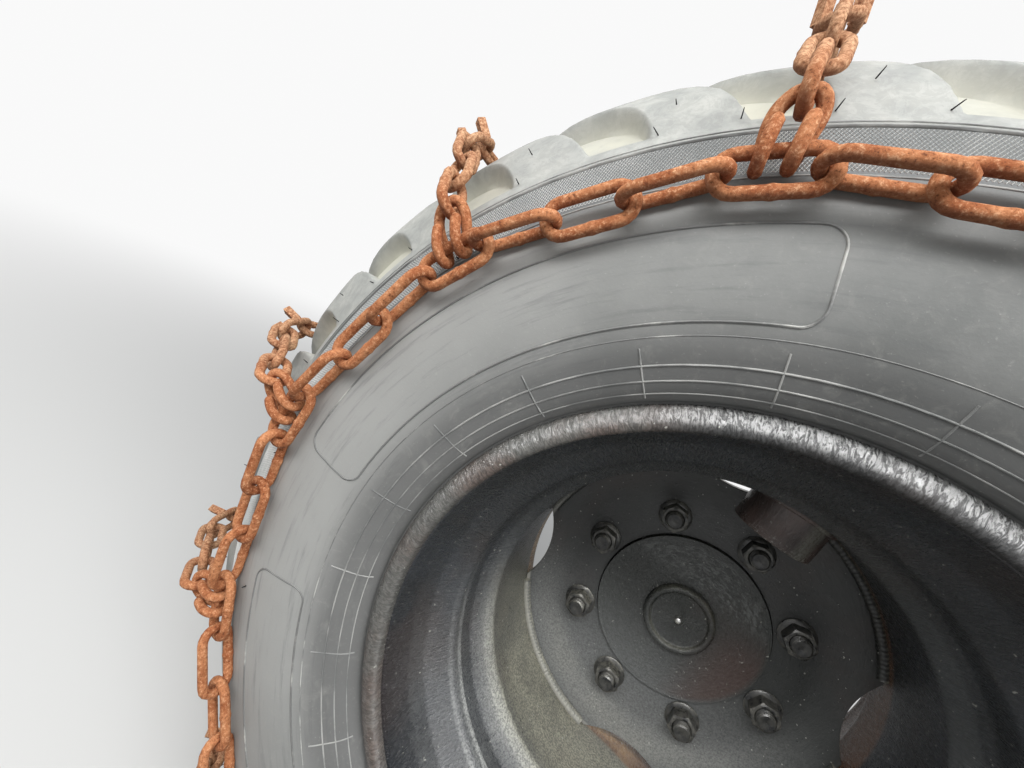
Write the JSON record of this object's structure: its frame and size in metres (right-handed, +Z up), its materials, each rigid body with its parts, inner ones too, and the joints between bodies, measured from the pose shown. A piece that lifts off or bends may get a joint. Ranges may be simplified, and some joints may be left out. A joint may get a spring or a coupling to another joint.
{
  "type": "forestry trailer wheel",
  "caption": "Wide implement tyre with a ladder snow chain on a deep-dish rim with its disc, studs and hub, turning on a flanged stub axle.",
  "frame": {"origin": "centre of the stub axle flange's inboard face, on the wheel's axis", "axes": "+Y along the axle toward the trailer, +Z up, +X to the right as seen from outside"},
  "size_m": [1.2404, 0.596, 1.2263],
  "materials": {
    "axle_paint": "worn satin black paint",
    "seal_rubber": "matte rubber",
    "hub_paint": "brushed-on gloss black paint over cast iron",
    "stud_steel": "black paint over zinc-plated steel, worn at the corners",
    "rim_paint": "brushed-on gloss black paint, dusty low down",
    "valve_brass": "tarnished",
    "tyre": "dusty weathered rubber",
    "rusty_chain": "orange-brown rust, pitted"
  },
  "bodies": {
    "axle": {"axle_flange": "axle_paint", "stub_axle": "axle_paint", "axle_seal": "seal_rubber", "flange_gussets": "axle_paint"},
    "wheel": {"hub_shell": "hub_paint", "hub_cap": "hub_paint", "wheel_studs": "stud_steel", "wheel_nuts": "stud_steel", "rim_barrel": "rim_paint", "wheel_disc": "rim_paint", "valve_guard": "rim_paint", "valve_stem": "valve_brass", "tyre": "tyre", "outer_side_chain": "rusty_chain", "inner_side_chain": "rusty_chain", "cross_chains": "rusty_chain", "outer_hooks": "rusty_chain", "inner_hooks": "rusty_chain", "stud_ears": "rusty_chain"}
  },
  "joints": [
    {"name": "wheel_spin", "type": "hinge", "parent": "axle", "child": "wheel", "pos_m": [0, -0.15, 0], "axis": [0, 1, 0], "continuous": true}
  ]
}
